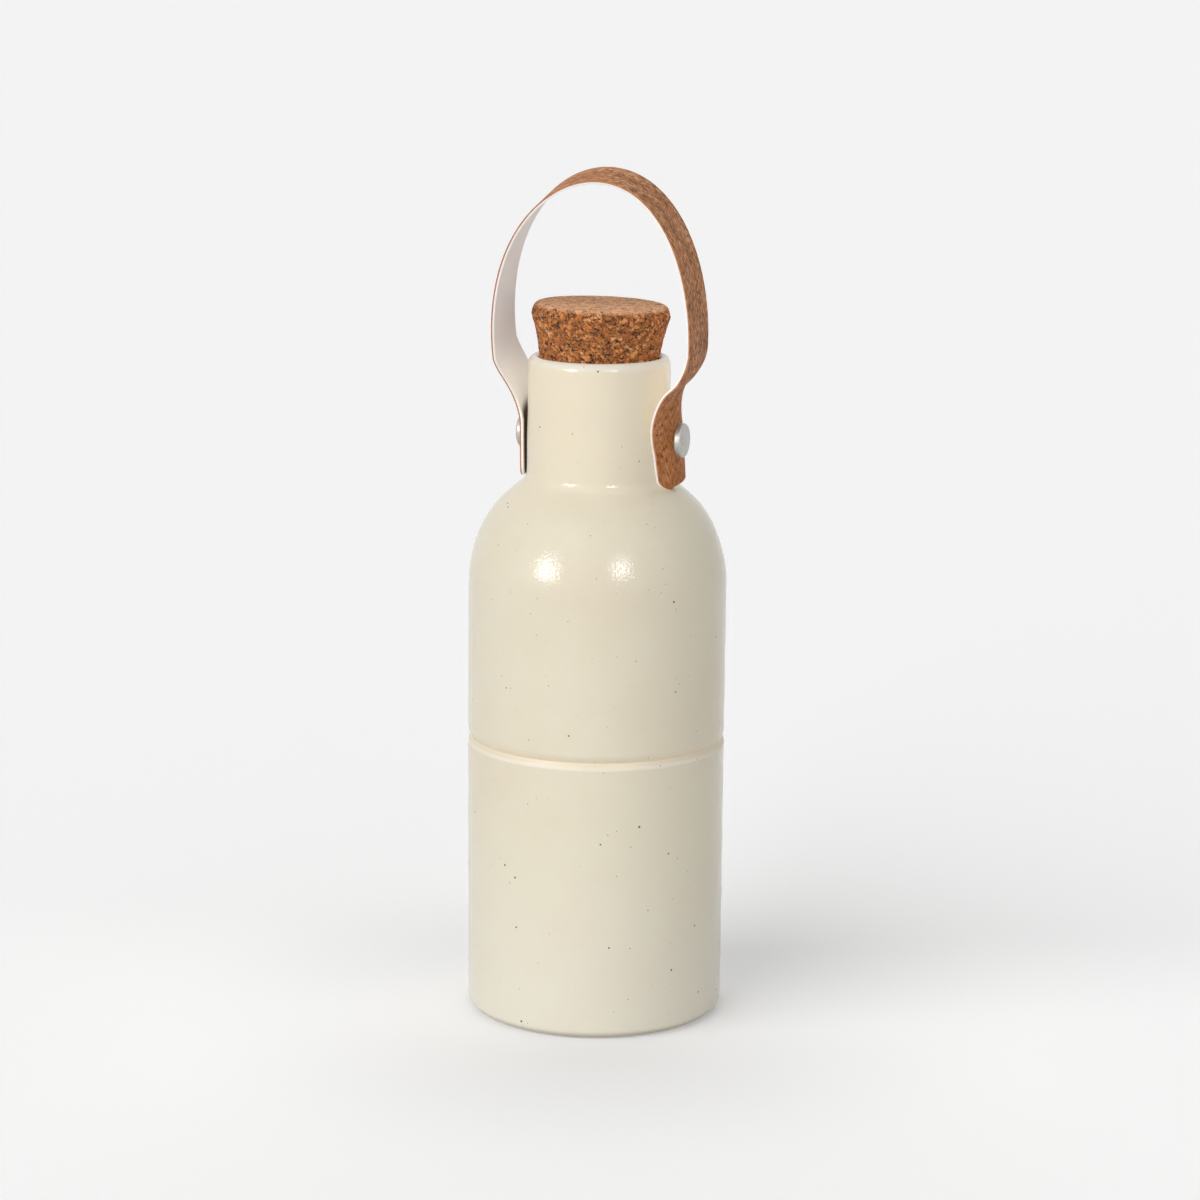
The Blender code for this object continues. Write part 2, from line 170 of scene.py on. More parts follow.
# Sizes that each side of the strap has for itself: kind, left, right and meaning
LEGS = {
    "face": (length, 0.02265, 0.0251, "From the bottle's axis to the tab's inner face"),
    "tab": (length, 0.0128, 0.0138, "Tab below the rivet"),
    "corner": (length, 0.0040, 0.0037, "Rounding of the tab's end"),
    "straight": (length, 0.0044, 0.0005, "Flat stretch above the rivet"),
    "bulge": (length, 0.0049, 0.0062, "How far the leg stands out beyond its tab"),
    "bulge_height": (length, 0.0284, 0.0321, "Where the leg stands out most"),
    "lower_pull": (number, 0.10, 0.92, "How long the leg keeps the tab's direction"),
    "upper_pull": (number, 0.10, 0.72, "How long it keeps the bulge's direction"),
    "tilt": (angle, 2.0, 20.5, "Tilt of the tab about its rivet, its upper end to the front"),
    "end_tilt": (angle, 2.0, 10.5, "Tilt of the tab's end"),
    "lean": (angle, 16.6, 2.7, "Lean of the leg to the front"),
    "hug": (length, 0.0016, 0.00344, "How far the tab's edges bend to the neck"),
    "twist": (length, -0.00036, 0.00122, "How far its front edge turns to the neck"),
}


def with_legs(group):
    """Gives a group of settings the sizes of both sides: left_face, right_face and so on."""
    for name, (kind, left, right, about) in LEGS.items():
        for side, default in (("left", left), ("right", right)):
            key = f"{side}_{name}"
            group.__annotations__[key] = kind(titled(key), default, about)
    return group


@with_legs
class StrapSettings(bpy.types.PropertyGroup):
    """Sizes and colours of the strap. Heights are measured from the rivet axis."""

    width: length("Width", 0.0190, "Width of the band")
    lining: length("Lining", 0.00060, "Thickness of the pale lining")
    facing: length("Facing", 0.00045, "Thickness of the cork sheet")
    edge_round: length("Edge round", 0.00012, "Rounding of the cut edges")
    rest_gap: length("Rest gap", 0.00035, "Room between the tabs and the glaze that they rest on")
    apex_height: length("Apex height", 0.0810, "Top of the arch's inner face")
    apex_shift: length("Apex shift", 0.0026, "How far to the right the arch is highest")
    turn: angle("Turn", 1.2, "Turn of the arch about the bottle's axis")
    bend: length("Bend", 0.0053, "The tilt changes over this length, above and below the rivets")
    flex_start: length("Flex start", 0.0010, "Above here the band bends when the arch is moved")
    flex_end: length("Flex end", 0.0460, "From here on it moves with the arch")
    flex_front: length("Flex front", 0.0120, "How far to the front the flex end lies")
    lean_start: length("Lean start", 0.0061, "The tabs keep their tilt up to here")
    lean_length: length("Lean length", 0.0225, "The legs twist over this length")
    cork: colour("Cork", (0.455, 0.184, 0.068), "Main colour of the cork sheet")
    fleck: colour("Fleck", (0.110, 0.036, 0.013), "Dark flecks of bark")
    fibre: colour("Fibre", (0.720, 0.400, 0.215), "Pale fibres")
    oiled: colour("Oiled", (0.420, 0.135, 0.026), "Darker where the tabs are handled")
    cut_edge: colour("Cut edge", (0.560, 0.230, 0.095), "Cut edge of the cork sheet")
    cream: colour("Cream", (0.970, 0.945, 0.920), "Lining")
    # Painted shade: the lining turns dark where it lies close to the neck, in the narrow gap, but not
    # near the band's edges.
    painted_shade: colour("Soiled", (0.090, 0.062, 0.042), "Lining where it lies on the neck")
    painted_shade_gap: length("Soiled gap", 0.0020, "It is soiled where it lies nearer to the glaze than this")
    painted_shade_fade: length("Soiled fade", 0.0009, "Over how much of that the soiling sets in")
    unshaded_edge: number("Clean edge", 0.80, "Share of the half width at which the clean edge starts")
    unshaded_fade: number("Clean fade", 0.16, "Share of the half width over which it cleans up")


class RivetSettings(bpy.types.PropertyGroup):
    """Sizes and colours of the rivets."""

    thickness: length("Thickness", 0.0022, "Height of the head at its middle")
    dome: length("Dome", 0.00025, "How far the face is domed")
    rim_round: length("Rim round", 0.0008, "Rounding of the head's rim")
    screw_radius: length("Screw radius", 0.0014, "Radius of the screw")
    metal: colour("Metal", (0.530, 0.515, 0.485), "Satin metal")
    rubber: colour("Rubber", (0.620, 0.600, 0.560), "Seals inside the neck")


# Lamps and softboxes: strength, turn from the camera, height above the level, width and meaning
LAMPS = {
    "left_lamp": (2.34, -47.0, 28.0, 60.0, "lamp to the left of the camera"),
    "right_lamp": (1.06, 39.0, 25.0, 60.0, "lamp to the right of the camera"),
    "back_lamp": (1.00, 180.0, 55.0, 60.0, "lamp behind the bottle"),
    "left_box": (1.25, -47.7, 15.9, 18.5, "softbox that the glaze mirrors on the left"),
    "right_box": (0.64, 22.0, 21.3, 11.0, "softbox that the glaze mirrors on the right"),
}


def with_lamps(group):
    """Gives a group of settings the strength, turn, height and width of each lamp."""
    for name, (strength, turn, height, width, about) in LAMPS.items():
        group.__annotations__[name] = number(titled(name), strength, f"Strength of the {about}")
        for key, degrees, meaning in (
            (f"{name}_turn", turn, "Its turn from the camera, to the right"),
            (f"{name}_height", height, "Its height above the level"),
            (f"{name}_width", width, "How wide it looks from the bottle"),
        ):
            group.__annotations__[key] = angle(titled(key), degrees, meaning)
    return group


@with_lamps
class StageSettings(bpy.types.PropertyGroup):
    """Camera, lamps and floor."""

    azimuth: angle("Azimuth", 20.0, "Camera's turn about the bottle, to the right")
    pitch: angle("Pitch", 12.0, "Camera's height above the level")
    roll: angle("Roll", 0.5, "How far the picture leans to the right")
    distance: length("Distance", 1.05, "From the camera to its target")
    focal_pixels: IntProperty(name="Focal length", description="In pixels of the picture", default=3375)
    picture: IntProperty(name="Picture", description="Pixels on each side of the picture", default=1200)
    target_height: length("Target height", 0.1301, "Height that the camera looks at")
    target_shift: length("Target shift", 0.0008, "How far to the right it looks")
    floor_size: length("Floor size", 60.0, "Half the floor's width")
    floor_tone: number("Floor tone", 0.88, "How pale the floor looks")
    # Painted shade: the floor's tone is duller round the bottle's base, within near_radius, back to its
    # own tone by plain_radius.
    floor_shade_tone: number("Floor near", 0.77, "How pale the floor looks round the bottle")
    near_radius: length("Near radius", 0.045, "How far from the bottle's axis it looks so")
    plain_radius: length("Plain radius", 0.150, "How far from the axis it has its own tone again")
    floor_bounce: number("Floor bounce", 0.72, "Share of its light that the floor sends on to the bottle")
    floor_glow: number("Floor glow", 0.215, "What the camera sees of the floor besides its lit tone")
    background: number("Background", 0.888, "Tone behind the floor")
    sky: number("Sky", 0.02, "Light from all sides")


class Value:
    """One output socket of a shader graph. Arithmetic on it adds Math nodes."""

    def __init__(self, graph, socket):
        self.graph = graph
        self.socket = socket

    def math(self, operation, first, second=0.0):
        return self.graph.add("ShaderNodeMath", {"operation": operation}, {0: first, 1: second})

    def __add__(self, other):
        return self.math("ADD", self, other)

    def __radd__(self, other):
        return self.math("ADD", other, self)

    def __sub__(self, other):
        return self.math("SUBTRACT", self, other)

    def __rsub__(self, other):
        return self.math("SUBTRACT", other, self)

    def __mul__(self, other):
        return self.math("MULTIPLY", self, other)

    def __rmul__(self, other):
        return self.math("MULTIPLY", other, self)

    def __abs__(self):
        return self.math("ABSOLUTE", self)

    def step(self, low, high):
        """0 below low, 1 above high, smooth between; falling if low is above high."""
        mapped = self.graph.add(
            "ShaderNodeMapRange",
            {"interpolation_type": "SMOOTHSTEP"},
            {"Value": self, "From Min": min(low, high), "From Max": max(low, high)},
        )
        return mapped if low < high else 1 - mapped


class Graph:
    """The node graph of a material or a world."""

    def __init__(self, owner):
        owner.use_nodes = True
        self.owner = owner
        self.tree = owner.node_tree

    @classmethod
    def material(cls, name):
        return cls(bpy.data.materials.new(name))

    def add(self, kind, settings, sockets, output=0):
        """Adds any node: its settings first, then its sockets' values or links. Returns one output."""
        node = self.tree.nodes.new(kind)
        for key, setting in settings.items():
            if key == "stops":
                self.set_stops(node.color_ramp, setting)
            else:
                setattr(node, key, setting)
        for key, value in sockets.items():
            self.feed(node.inputs[key], value)
        return Value(self, node.outputs[output])

    def feed(self, socket, value):
        """Links a value of the graph to a socket, or sets a plain one."""
        if isinstance(value, Value):
            self.tree.links.new(value.socket, socket)
        else:
            socket.default_value = value

    def set_stops(self, ramp, stops):
        """Gives a colour ramp its places and colours."""
        while len(ramp.elements) < len(stops):
            ramp.elements.new(1.0)
        for element, (place, tone) in zip(ramp.elements, stops):
            element.position = place
            element.color = (*tone, 1.0)

    def finish(self, **sockets):
        """Feeds the Principled shader: base_color, roughness and so on."""
        shader = self.tree.nodes["Principled BSDF"]
        for key, value in sockets.items():
            self.feed(shader.inputs[key.replace("_", " ").title().replace("Ior", "IOR")], value)
        return self.owner

    def surface(self, output, shader):
        """Shows a shader of the graph's own on its output node."""
        self.feed(self.tree.nodes[output].inputs["Surface"], shader)

    def seen(self):
        """1 for rays from the camera, or by way of a mirror or glass, and 0 for light on its way."""
        kinds = ("Camera", "Glossy", "Transmission")
        direct, mirror, glass = (
            self.add("ShaderNodeLightPath", {}, {}, f"Is {kind} Ray") for kind in kinds
        )
        return direct + mirror + glass

    def place(self):
        """Object coordinates."""
        return self.add("ShaderNodeTexCoord", {}, {}, "Object")

    def height(self):
        """Z of the Object coordinates."""
        return self.add("ShaderNodeSeparateXYZ", {}, {0: self.place()}, "Z")

    def attribute(self, name):
        """A number stored on the mesh's points."""
        return self.add("ShaderNodeAttribute", {"attribute_name": name}, {}, "Fac")

    def stretched(self, source, scale):
        """A vector, scaled along each axis."""
        return self.add("ShaderNodeVectorMath", {"operation": "MULTIPLY"}, {0: source, 1: scale})

    def noise(self, vector, scale, detail=2.0, rough=0.5):
        sockets = {"Vector": vector, "Scale": scale, "Detail": detail, "Roughness": rough}
        return self.add("ShaderNodeTexNoise", {}, sockets)

    def spots(self, vector, scale, output="Distance"):
        return self.add("ShaderNodeTexVoronoi", {}, {"Vector": vector, "Scale": scale}, output)

    def mix(self, factor, first, second):
        """From the first colour to the second."""
        settings = {"data_type": "RGBA"}
        return self.add("ShaderNodeMix", settings, {0: factor, 6: opaque(first), 7: opaque(second)}, 2)

    def bump(self, height, strength, distance):
        sockets = {"Height": height, "Strength": strength, "Distance": distance}
        return self.add("ShaderNodeBump", {}, sockets)


def opaque(tone):
    """A colour with its alpha, or a link as it is."""
    return tone if isinstance(tone, Value) else (*tone, 1.0)


def dimmed(tone, share):
    """A share of a colour."""
    return tuple(share * part for part in tone)


def smoothstep(value):
    """3 t^2 - 2 t^3, with t held between 0 and 1."""
    way = np.clip(value, 0.0, 1.0)
    return way * way * (3 - 2 * way)


def arc(centre, radii, start, end, steps):
    """Points (steps + 1, 2) of an elliptical arc: centre + radii * (cos t, sin t), t in degrees."""
    t = np.radians(np.linspace(start, end, steps + 1))
    return np.stack([centre[0] + radii[0] * np.cos(t), centre[1] + radii[1] * np.sin(t)], axis=1)


def line(first, last, steps):
    """Points (steps + 1, 2) evenly along a straight line."""
    return np.linspace(first, last, steps + 1)


def joined(*runs):
    """Runs of points end to end, each point once."""
    points = np.concatenate(runs)
    fresh = np.linalg.norm(np.diff(points, axis=0), axis=1) > 1e-7
    return points[np.concatenate([[True], fresh])]


def hashed(cells, seed):
    """Three numbers from 0 to 1 for each whole-number cell (n, 3), from large primes mixed bit by bit."""
    x, y, z = (cells + 512).astype(np.uint32).T
    key = x * np.uint32(73856093) ^ y * np.uint32(19349663) ^ z * np.uint32(83492791) ^ np.uint32(seed)
    out = []
    for odd in (0x85EBCA6B, 0xC2B2AE35, 0x27D4EB2F):
        key = (key ^ (key >> np.uint32(15))) * np.uint32(odd)
        key = key ^ (key >> np.uint32(13))
        out.append((key & np.uint32(0xFFFFFF)) / float(0x1000000))
    return np.stack(out, axis=1)


def granules(points, size, seed):
    """Worley noise of one random site per cell: for each point the distances to the two nearest sites,
    in cells, and a random tone of the nearest."""
    scaled = points / size
    home = np.floor(scaled).astype(np.int64)
    near = np.full(len(points), 9.0)
    second = near.copy()
    tone = np.zeros(len(points))
    for offset in np.ndindex(3, 3, 3):
        cell = home + np.array(offset) - 1
        random = hashed(cell, seed)
        apart = np.linalg.norm(cell + random - scaled, axis=1)
        closer = apart < near
        second = np.where(closer, near, np.minimum(second, apart))
        tone = np.where(closer, hashed(cell, seed + 1)[:, 0], tone)
        near = np.where(closer, apart, near)
    return near, second, tone


def add_object(name, data):
    """An object of the scene that shows a mesh, a lamp or a camera."""
    made = bpy.data.objects.new(name, data)
    bpy.context.scene.collection.objects.link(made)
    return made


def add_mesh(name, points, faces, material):
    """A smooth mesh object at the origin. The sign of its volume turns a closed mesh's faces outwards."""
    mesh = bpy.data.meshes.new(name)
    mesh.from_pydata(points, [], faces)
    mesh.materials.append(material)
    mesh.shade_smooth()
    made = add_object(name, mesh)
    mesh.calc_loop_triangles()
    corners = np.empty(len(mesh.loop_triangles) * 3, np.int32)
    mesh.loop_triangles.foreach_get("vertices", corners)
    if np.linalg.det(np.asarray(points)[corners.reshape(-1, 3)]).sum() < 0:
        mesh.flip_normals()
    return made


def store(made, name, values):
    """Keeps a number on each point of the mesh."""
    layer = made.data.attributes.new(name, "FLOAT", "POINT")
    layer.data.foreach_set("value", np.asarray(values, np.float32).ravel())


def store_uv(made, along, across):
    """A UV map in metres: u along the piece, v across it."""
    corners = np.empty(len(made.data.loops), np.int32)
    made.data.loops.foreach_get("vertex_index", corners)
    pairs = np.stack([along.ravel(), across.ravel()], axis=1).astype(np.float32)
    layer = made.data.uv_layers.new(name="band")
    layer.data.foreach_set("uv", pairs[corners].ravel())


def outward(path):
    """Unit normals of a path (n, 2), to the left of its direction."""
    along = np.gradient(path, axis=0)
    along /= np.linalg.norm(along, axis=1)[:, None]
    return np.stack([-along[:, 1], along[:, 0]], axis=1)


def turned(radius, height, around):
    """Points (r cos a, r sin a, h) for a column or grid of r, a column of h and even angles a."""
    a = np.linspace(0, 2 * np.pi, around, endpoint=False)
    height = np.repeat(height, around, axis=1)
    return np.stack([radius * np.cos(a), radius * np.sin(a), height], axis=-1).reshape(-1, 3)


def turned_points(profile, around, radius_change=None):
    """A surface of revolution about Z of a profile (r, h) that starts and ends on the axis.

    Its two ends become one point each. radius_change adds to r over the grid of inner profile points and
    angles."""
    a = np.linspace(0, 2 * np.pi, around, endpoint=False)
    inner = profile[1:-1]
    radius = inner[:, :1] + (0 if radius_change is None else radius_change(inner[:, 1:], a[None, :]))
    ends = np.array([[0, 0, profile[0, 1]], [0, 0, profile[-1, 1]]])
    return np.concatenate([turned(radius, inner[:, 1:], around), ends])


def turned_normals(profile, around):
    """Outward normals at the points of turned_points, for a profile that runs from the top down."""
    out = outward(profile)[1:-1]
    return np.concatenate([turned(out[:, :1], out[:, 1:], around), [[0, 0, 1], [0, 0, -1]]])


def ring_quads(rows, columns):
    """Quads between neighbouring closed rings of points, row after row."""
    step = np.arange(columns)
    following = (step + 1) % columns
    base = np.arange(rows - 1)[:, None] * columns
    above = base + columns
    quads = np.stack([base + step, base + following, above + following, above + step], axis=-1)
    return quads.reshape(-1, 4).tolist()


def turned_faces(profile, around):
    """Quads between neighbouring rings and fans round the two ends."""
    rows = len(profile) - 2
    step = np.arange(around)
    following = (step + 1) % around
    last = (rows - 1) * around
    first_fan = np.stack([np.full(around, rows * around), following, step], axis=-1)
    last_fan = np.stack([np.full(around, rows * around + 1), last + step, last + following], axis=-1)
    return ring_quads(rows, around) + first_fan.tolist() + last_fan.tolist()


def band_faces(rows, columns):
    """Quads between neighbouring closed sections, and one face at each end."""
    step = np.arange(columns)
    ends = [step[::-1].tolist(), ((rows - 1) * columns + step).tolist()]
    return ring_quads(rows, columns) + ends


def glaze(s):
    """Cream glaze, satin: clouds, warm neck, iron specks, pale lip, peach groove, painted groove
    highlight, bare foot edge.
    """
    g = Graph.material("cream_glaze")
    place, height = g.place(), g.height()
    clouds = g.noise(place, 24.0, 3.0).step(0.42, 0.66)
    tone = g.mix(clouds, s.cream, s.warm)
    neck = height.step(0.150, 0.186)
    tone = g.mix(neck * 0.9, tone, s.honey)
    fine = g.noise(place, 190.0, 4.0, 0.65)
    tone = g.mix((fine - 0.5) * 0.5 + 0.10, tone, s.pale)
    groove = abs(height - s.groove_height).step(0.55 * s.groove_width, 0.12 * s.groove_width)
    tone = g.mix(groove * 0.75, tone, s.peach)
    # Painted highlight: a paler band on the groove's lower edge, where the light catches it.
    ridge_highlight = abs(height - s.groove_height + 0.34 * s.groove_width).step(0.0009, 0.0002)
    tone = g.mix(ridge_highlight * 0.6, tone, s.ridge_highlight)
    lip = height.step(LIP_Z - 0.0030, LIP_Z - 0.0008)
    tone = g.mix(lip * 0.8, tone, s.pale)
    lower = height.step(0.075, 0.0)
    tone = g.mix(lower * 0.60, tone, s.pale)
    foot = height.step(0.0026, 0.0010)
    tone = g.mix(foot * 0.55, tone, s.clay)
    small = g.spots(place, 290.0).step(0.070, 0.035)
    chance = g.add("ShaderNodeSeparateColor", {}, {0: g.spots(place, 290.0, "Color")}, 0)
    small = small * chance.step(0.20, 0.85)
    large = g.spots(place, 138.0).step(0.056, 0.037)
    specks = small * 0.8 + large
    tone = g.mix(specks, tone, s.speck)
    peel = g.noise(place, 1350.0, 2.0) * 0.72 + g.noise(place, 70.0, 2.0) - specks * 1.6
    return g.finish(
        base_color=tone,
        roughness=fine * 0.10 + specks * 0.25 + (groove + ridge_highlight) * 0.25 + (s.roughness - 0.05),
        normal=g.bump(peel, 0.26, 0.0004),
        specular_ior_level=0.42,
    )


def stopper_cork(s):
    """Agglomerated cork: granules of many browns from the stored tone, dark gaps, a sanded, paler top."""
    g = Graph.material("stopper_cork")
    place = g.place()
    grain = g.noise(place, 1500.0, 4.0, 0.75)
    shade = g.attribute("tone") + (grain - 0.5) * 1.5
    stops = [(0.08, s.dark), (0.40, s.middle), (0.66, s.middle), (0.95, s.light)]
    granule = g.add("ShaderNodeValToRGB", {"stops": stops}, {0: shade})
    sanded = g.attribute("sanded")
    granule = g.mix(sanded * 0.70, granule, s.sanded)
    flecks = g.noise(place, 640.0, 4.0, 0.75).step(0.53, 0.60)
    granule = g.mix(flecks * (0.30 + sanded * 0.48), granule, s.dark)
    cracks = g.noise(g.stretched(place, (1.0, 1.0, 1.5)), 600.0, 4.0, 0.8).step(0.435, 0.405)
    depth = g.attribute("pit") * (1 - sanded * 0.6) + cracks * (0.95 - sanded * 0.35)
    return g.finish(
        base_color=g.mix(depth, granule, s.pit),
        roughness=0.86 - sanded * 0.10,
        normal=g.bump(grain - depth, 0.55, 0.0004),
    )


def strap_cork(s):
    """Sliced cork sheet: short lengthwise fibres and dark flecks on the band's map, orange cut edges."""
    g = Graph.material("strap_cork")
    band = g.add("ShaderNodeTexCoord", {}, {}, "UV")
    fibres = g.noise(g.stretched(band, (480.0, 1250.0, 1.0)), 1.0, 4.0, 0.80)
    broad = g.noise(g.stretched(band, (90.0, 240.0, 1.0)), 1.0, 2.0) - 0.5
    stops = [(0.40, s.fleck), (0.46, s.cork), (0.53, s.cork), (0.60, s.fibre)]
    tone = g.add("ShaderNodeValToRGB", {"stops": stops}, {0: fibres + broad * 0.35})
    flecks = g.noise(g.stretched(band, (440.0, 1150.0, 1.0)), 1.1, 3.0, 0.7).step(0.56, 0.60)
    tone = g.mix(g.attribute("held") * 0.60, tone, s.oiled)
    tone = g.mix(flecks * 0.8, tone, s.fleck)
    tone = g.mix(g.attribute("edge") * 0.8, tone, s.cut_edge)
    return g.finish(
        base_color=tone,
        roughness=0.72 + flecks * 0.12,
        normal=g.bump(fibres - flecks * 0.5, 0.40, 0.0003),
    )


def strap_lining(s):
    """Smooth off-white lining with a faint fine grain and painted shade where it lies close to the neck.
    """
    g = Graph.material("strap_lining")
    place = g.place()
    pores = g.noise(place, 1300.0, 3.0, 0.6)
    clouds = g.noise(place, 55.0, 2.0)
    tone = g.mix(clouds.step(0.40, 0.75), s.cream, dimmed(s.cream, 0.95))
    # Painted shade in the narrow gap by the neck, from the stored closeness to the glaze.
    tone = g.mix(g.attribute("close"), tone, s.painted_shade)
    return g.finish(base_color=tone, roughness=0.55 + pores * 0.15, normal=g.bump(pores, 0.12, 0.0002))


def rivet_metal(s):
    """Satin off-white metal with a fine brushed haze."""
    g = Graph.material("rivet_metal")
    place = g.place()
    haze = g.noise(place, 900.0, 4.0, 0.65)
    tone = g.mix(haze.step(0.40, 0.70), s.metal, dimmed(s.metal, 0.82))
    return g.finish(
        base_color=tone, metallic=0.75, roughness=0.36 + haze * 0.16, normal=g.bump(haze, 0.08, 0.0002)
    )


def seal_rubber(s):
    """Milky rubber."""
    g = Graph.material("seal_rubber")
    cloud = g.noise(g.place(), 300.0)
    tone = g.mix(cloud, s.rubber, dimmed(s.rubber, 0.85))
    return g.finish(base_color=tone, roughness=0.5 + cloud * 0.15)


def outer_wall(s):
    """Half section of the outside, from the foot ring up to the inner side of the lip.

    The dome is a quarter ellipse that sinks a little near the neck, the groove a cusp
    (1 - |h| / half width)^power, the neck's foot a quadratic curve, and the lip two quarter ellipses, the
    outer one larger."""
    foot_outer = s.radius - s.base_round
    dome_rise = s.shoulder_rise * math.sqrt(1 - (s.neck_base / s.radius) ** 2)
    neck_foot = s.shoulder_height + dome_rise - s.shoulder_sink
    lip_outer = s.lip_share * s.neck_wall
    base = arc((foot_outer, s.base_rise), (s.base_round, s.base_rise), -90, 0, 12)
    half = s.groove_width / 2
    low, high = s.groove_height - half, s.groove_height + half
    heights = np.concatenate(
        [
            np.linspace(s.base_rise, low, 40),
            np.linspace(low, high, 44)[1:],
            np.linspace(high, s.shoulder_height, 24)[1:],
        ]
    )
    dip = np.clip(1 - np.abs(heights - s.groove_height) / half, 0, 1) ** s.groove_power
    wall = np.stack([s.radius - s.groove_depth * dip, heights], axis=1)
    fillet_end = s.neck_base + s.fillet
    dome_end = math.degrees(math.acos(fillet_end / s.radius))
    dome = arc((0, s.shoulder_height), (s.radius, s.shoulder_rise), 0, dome_end, 42)
    dome[:, 1] -= s.shoulder_sink * smoothstep((s.sink_radius - dome[:, 0]) / s.sink_width)
    slope = (s.neck_top - s.neck_base) / (LIP_Z - neck_foot)
    t = np.linspace(0, 1, 9)[:, None]
    corner = np.array([s.neck_base, neck_foot])
    top = np.array([s.neck_base + slope * s.fillet, neck_foot + s.fillet])
    fillet = (1 - t) ** 2 * dome[-1] + 2 * t * (1 - t) * corner + t * t * top
    lip_low, crest = LIP_Z - s.lip_drop, s.neck_top - lip_outer
    lip_inner = s.neck_wall - lip_outer
    neck = line(top, (s.neck_top, lip_low), 22)
    lip = arc((crest, lip_low), (lip_outer, s.lip_drop), 0, 90, 12)
    mouth = arc((crest, LIP_Z - lip_inner), (lip_inner, lip_inner), 90, 180, 8)
    return joined(base, wall, dome, fillet, neck, lip, mouth)


def bottle_profile(s):
    """Half section from the underside's middle, round the outside and the lip, to the floor's middle."""
    foot_outer = s.radius - s.base_round
    foot_inner = foot_outer - s.foot_width
    lip_low = LIP_Z - (1 - s.lip_share) * s.neck_wall
    bore = s.neck_top - s.neck_wall
    inner = s.radius - s.wall
    inner_rise = s.shoulder_rise - s.wall
    underside = joined(
        line((0, s.foot_depth), (foot_inner - s.foot_depth, s.foot_depth), 12),
        line((foot_inner - s.foot_depth, s.foot_depth), (foot_inner, 0), 4),
        line((foot_inner, 0), (foot_outer, 0), 4),
    )
    inner_top = math.acos(bore / inner)
    bore_foot = s.shoulder_height + inner_rise * math.sin(inner_top)
    inside = joined(
        line((bore, lip_low), (bore, bore_foot), 10),
        arc((0, s.shoulder_height), (inner, inner_rise), math.degrees(inner_top), 0, 18),
        line((inner, s.shoulder_height), (inner, s.floor + s.floor_round), 12),
        arc((inner - s.floor_round, s.floor + s.floor_round), (s.floor_round, s.floor_round), 0, -90, 8),
        line((inner - s.floor_round, s.floor), (0, s.floor), 8),
    )
    return joined(underside, outer_wall(s), inside)


class BOTTLE_OT_body(bpy.types.Operator):
    """Makes the glazed bottle: a turned profile that strays a little from a true circle"""

    bl_idname = "bottle.body"
    bl_label = "Bottle"

    def execute(self, context):
        s = context.scene.bottle
        profile = bottle_profile(s)
        around = 288

        def wobble(height, a):
            """A slow oval and faint turning rings, fading out at the foot and the lip."""
            free = smoothstep(height / s.wobble_fade) * smoothstep((LIP_Z - height) / s.wobble_fade)
            oval = np.sin(2 * a + 14 * height) + 0.6 * np.sin(3 * a - 31 * height)
            return s.wobble * free * (oval + 0.5 * np.sin(height * 2 * np.pi / s.ring_pitch + a))

        points = turned_points(profile, around, wobble)
        made = add_mesh("stoneware_bottle", points, turned_faces(profile, around), glaze(s))
        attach(made, "bottle_body")
        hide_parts("bottle")
        return {"FINISHED"}


def stopper_profile(s, mouth):
    """Half section from the top's middle to the tip's, heights from the lip, and how sanded it is.

    The side flares as a share of a straight taper plus a square."""
    head = STOPPER_TOP.z - LIP_Z
    depth = LIP_Z - STOPPER_LOW.z
    seat_radius = mouth - s.seat_gap
    seat = -mouth * s.seat_share
    edge = head - s.edge_drop
    heights = np.linspace(edge, seat, 52)
    way = (heights - seat) / (head - seat)
    side = seat_radius + s.flare * (s.flare_slope * way + (1 - s.flare_slope) * way**2)
    top_radius = side[0] - s.edge_inset
    tip_radius = seat_radius - s.tip_taper
    runs = (
        line((0, head), (top_radius, head), 64),
        arc((top_radius, edge), (s.edge_inset, s.edge_drop), 90, 0, 14),
        np.stack([side, heights], axis=1),
        line((side[-1], seat), (tip_radius, s.tip_round - depth), 24),
        arc((tip_radius - s.tip_round, s.tip_round - depth), (s.tip_round, s.tip_round), 0, -90, 5),
        line((tip_radius - s.tip_round, -depth), (0, -depth), 14),
    )
    profile = joined(*runs)
    sanded = smoothstep((profile[:, 1] - head + s.sanded_depth) / s.sanded_fade)
    return profile, sanded


def cork_relief(s, points):
    """Tone, pit and level of pressed cork at each point.

    Sines bend the edges of coarse and fine granules. A gap lies where the two nearest sites are about as
    far away as each other, and a hole at the middle of the palest fine granules."""
    uneven = points + 0.22 * s.granule * np.sin(points[:, [1, 2, 0]] * 5.3 / s.granule + (0, 1, 2))
    near, second, tone = granules(uneven * (1, 1, 1.25), s.granule, seed=7)
    gap = 1 - smoothstep((second - near) / 0.22)
    small_near, small_second, small_tone = granules(uneven, 0.45 * s.granule, seed=23)
    small_gap = 1 - smoothstep((small_second - small_near) / 0.30)
    hole = smoothstep((small_tone - 0.80) / 0.08) * (1 - smoothstep((small_near - 0.25) / 0.25))
    pit = np.clip(0.75 * gap * (tone > 0.35) + 0.45 * small_gap * (tone < 0.6) + hole, 0, 1)
    return 0.7 * tone + 0.3 * small_tone, pit, (tone - 0.5) * 0.5 - pit


